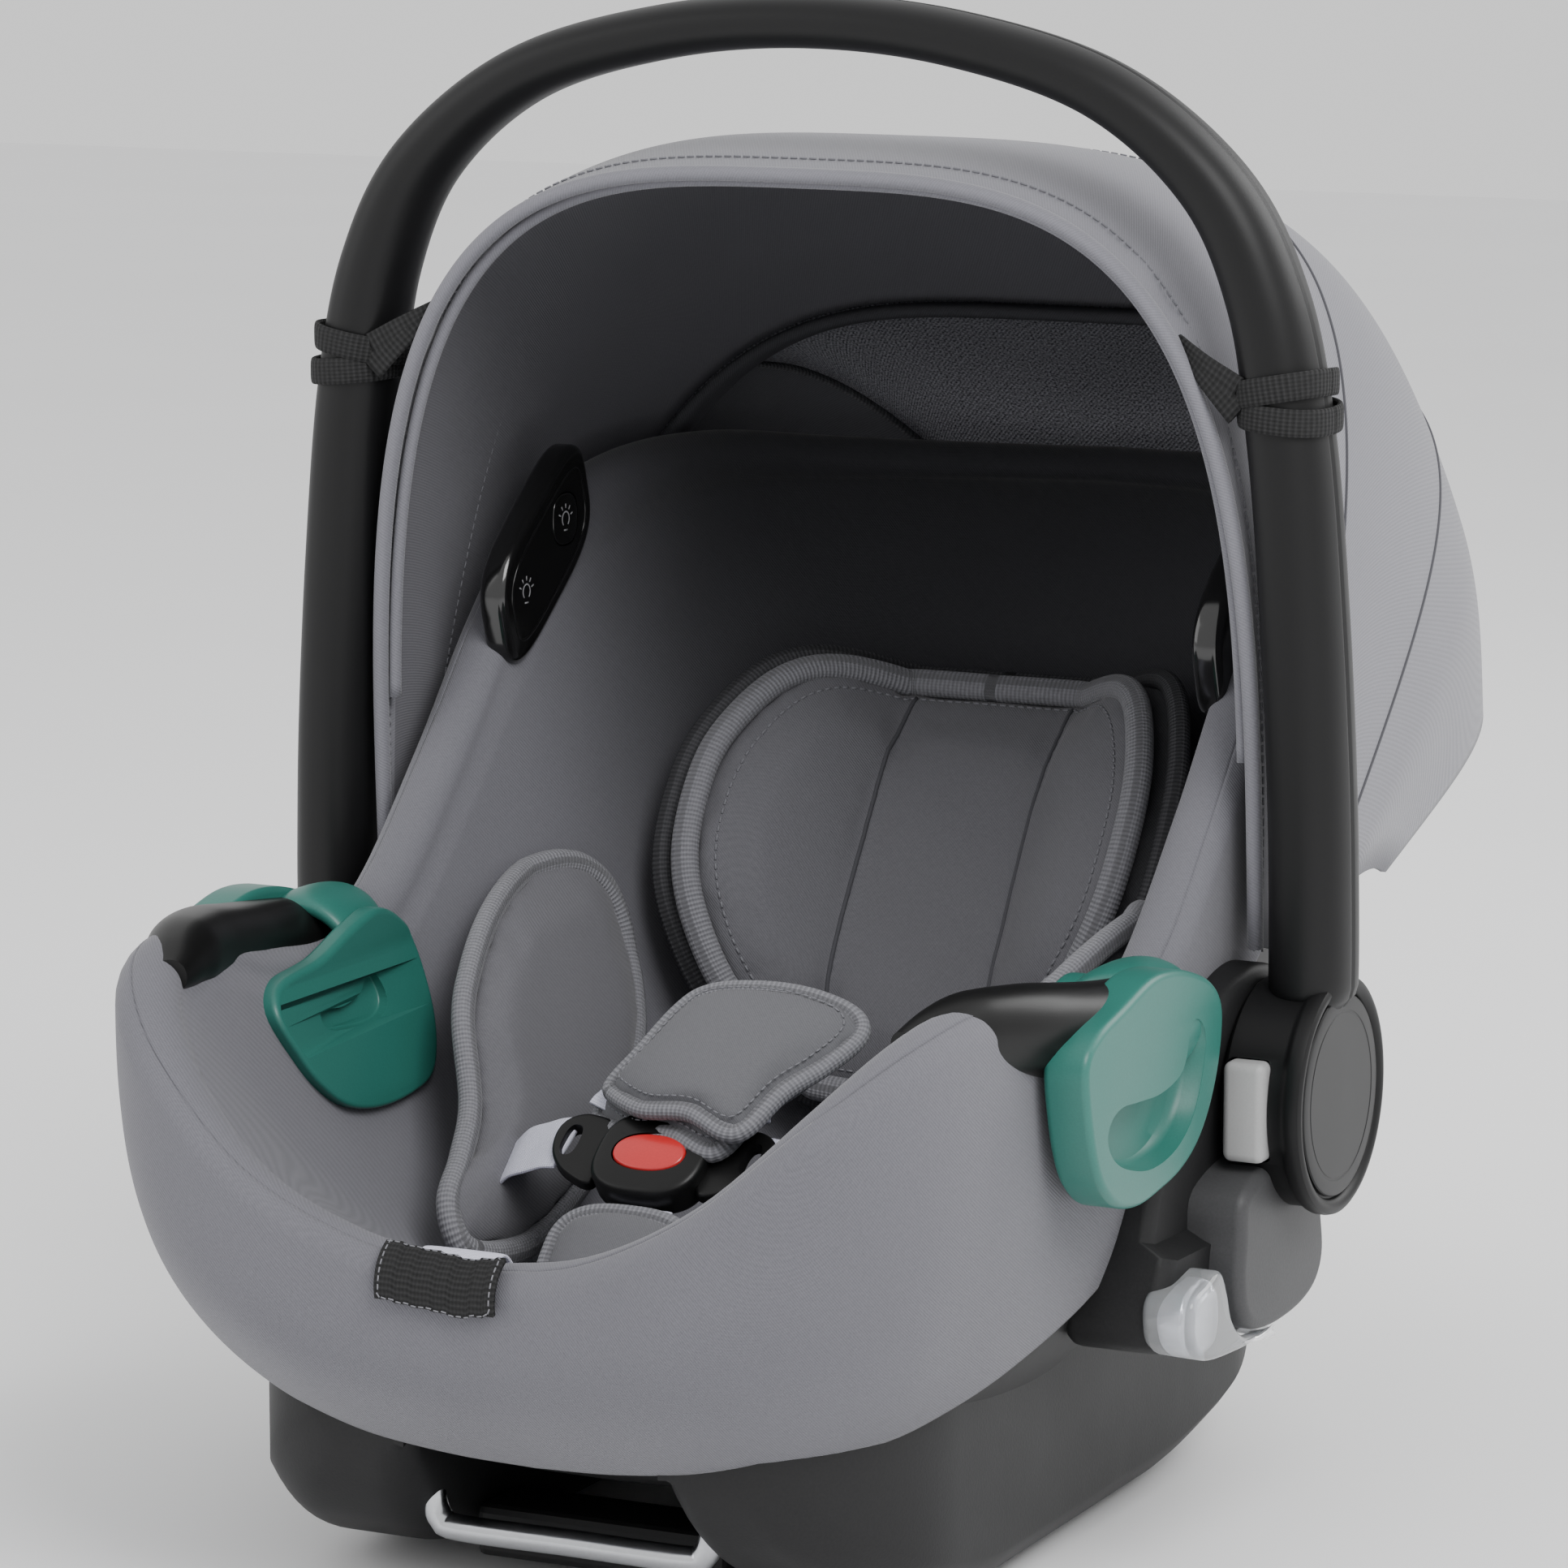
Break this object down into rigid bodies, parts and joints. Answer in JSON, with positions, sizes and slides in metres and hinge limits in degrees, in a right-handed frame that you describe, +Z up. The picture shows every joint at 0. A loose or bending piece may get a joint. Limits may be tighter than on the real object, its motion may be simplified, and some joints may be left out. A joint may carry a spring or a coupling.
{
  "type": "infant car seat",
  "caption": "Rear-facing infant carrier with swinging carrying handle, folding canopy, sliding headrest, harness with buckle, belt hooks and rocker runners.",
  "frame": {"origin": "middle of the bounding box at floor level, where the runners stand", "axes": "+X to the seat's right as seen from its foot end, +Y from the foot end to the head end, +Z up"},
  "size_m": [0.4504, 0.6546, 0.5824],
  "materials": {
    "fabric_grey": "woven knit fabric, matte",
    "binding_dark_grey": "ribbed and smooth dark grey fabric, matte",
    "lining_grey": "dark grey lining fabric, matte",
    "foam_white": "moulded foam, matte",
    "shell_charcoal": "grained charcoal plastic",
    "bracket_charcoal": "satin charcoal plastic",
    "handle_black": "satin black plastic",
    "belt_hook_green": "satin dark green plastic",
    "button_light_grey": "light grey plastic",
    "lens_clear": "clear glossy plastic",
    "steel_bar": "brushed steel",
    "webbing_pale": "woven webbing",
    "plastic_black": "satin to gloss black plastic",
    "button_red": "red satin plastic",
    "elastic_black": "ribbed black elastic"
  },
  "bodies": {
    "seat": {"seat_shell": "shell_charcoal", "runner_left": "shell_charcoal", "runner_right": "shell_charcoal", "bar_crossmember": "shell_charcoal", "adjuster_housing": "shell_charcoal", "release_housing": "shell_charcoal", "foam_liner": "foam_white", "seat_cover": "fabric_grey", "front_apron": "fabric_grey", "canopy_fabric": "fabric_grey", "seat_insert": "fabric_grey", "insert_wing_left": "fabric_grey", "insert_wing_right": "fabric_grey", "crotch_pad": "binding_dark_grey", "shoulder_pad_left": "binding_dark_grey", "shoulder_pad_right": "binding_dark_grey", "side_bracket_left": "bracket_charcoal", "side_bracket_right": "bracket_charcoal", "outer_light_lens_left": "lens_clear", "outer_light_lens_right": "lens_clear", "front_anchor_bar": "steel_bar", "rear_anchor_bar": "steel_bar", "pivot_pin_left": "steel_bar", "pivot_pin_right": "steel_bar", "belt_hook_left": "belt_hook_green", "belt_hook_right": "belt_hook_green", "belt_horn_left": "plastic_black", "belt_horn_right": "plastic_black", "buckle_housing": "plastic_black", "buckle_tongue_left": "plastic_black", "buckle_tongue_right": "plastic_black", "light_panel_left": "plastic_black", "light_panel_right": "plastic_black", "shoulder_strap_left": "webbing_pale", "shoulder_strap_right": "webbing_pale", "lap_strap_left": "webbing_pale", "lap_strap_right": "webbing_pale", "crotch_strap": "webbing_pale", "adjuster_strap": "webbing_pale", "strap_patch": "elastic_black"},
    "handle": {"handle_tube": "handle_black", "handle_hub_left": "handle_black", "handle_hub_right": "handle_black", "hub_cap_left": "plastic_black", "hub_cap_right": "plastic_black", "elastic_loop_left": "elastic_black", "elastic_loop_right": "elastic_black"},
    "handle_button_left": {"handle_button_left": "button_light_grey"},
    "handle_button_right": {"handle_button_right": "button_light_grey"},
    "canopy": {"canopy_hoop": "plastic_black"},
    "headrest": {"headrest_pad": "lining_grey", "head_insert": "fabric_grey"},
    "buckle_button": {"buckle_button": "button_red"},
    "adjuster_button": {"adjuster_button": "button_light_grey"},
    "light_key_left": {"light_key_left": "plastic_black"},
    "light_key_right": {"light_key_right": "plastic_black"},
    "base_release_lever": {"base_release_lever": "button_light_grey"}
  },
  "joints": [
    {"name": "handle_swing", "type": "hinge", "parent": "seat", "child": "handle", "pos_m": [0, -0.0343, 0.175], "axis": [-1, 0, 0], "range_deg": [0, 110]},
    {"name": "canopy_fold", "type": "hinge", "parent": "seat", "child": "canopy", "pos_m": [0, -0.0343, 0.175], "axis": [-1, 0, 0], "range_deg": [0, 24], "deforming": ["canopy_fabric"]},
    {"name": "headrest_height", "type": "slide", "parent": "seat", "child": "headrest", "axis": [0, 0.5609, 0.8279], "range_m": [0, 0.075]},
    {"name": "handle_button_left_press", "type": "slide", "parent": "handle", "child": "handle_button_left", "axis": [0, 1, 0], "range_m": [0, 0.004], "stiffness_N_per_m": 900},
    {"name": "handle_button_right_press", "type": "slide", "parent": "handle", "child": "handle_button_right", "axis": [0, 1, 0], "range_m": [0, 0.004], "stiffness_N_per_m": 900},
    {"name": "light_key_left_press", "type": "slide", "parent": "seat", "child": "light_key_left", "axis": [-1, 0, 0], "range_m": [0, 0.001], "stiffness_N_per_m": 1500},
    {"name": "light_key_right_press", "type": "slide", "parent": "seat", "child": "light_key_right", "axis": [1, 0, 0], "range_m": [0, 0.001], "stiffness_N_per_m": 1500},
    {"name": "buckle_button_press", "type": "slide", "parent": "seat", "child": "buckle_button", "axis": [0, 0.6, -0.8], "range_m": [0, 0.0025], "stiffness_N_per_m": 2500},
    {"name": "adjuster_button_press", "type": "slide", "parent": "seat", "child": "adjuster_button", "axis": [0, 0, -1], "range_m": [0, 0.0025], "stiffness_N_per_m": 1500},
    {"name": "base_release_press", "type": "slide", "parent": "seat", "child": "base_release_lever", "axis": [0, -1, 0], "range_m": [0, 0.009], "stiffness_N_per_m": 700}
  ]
}
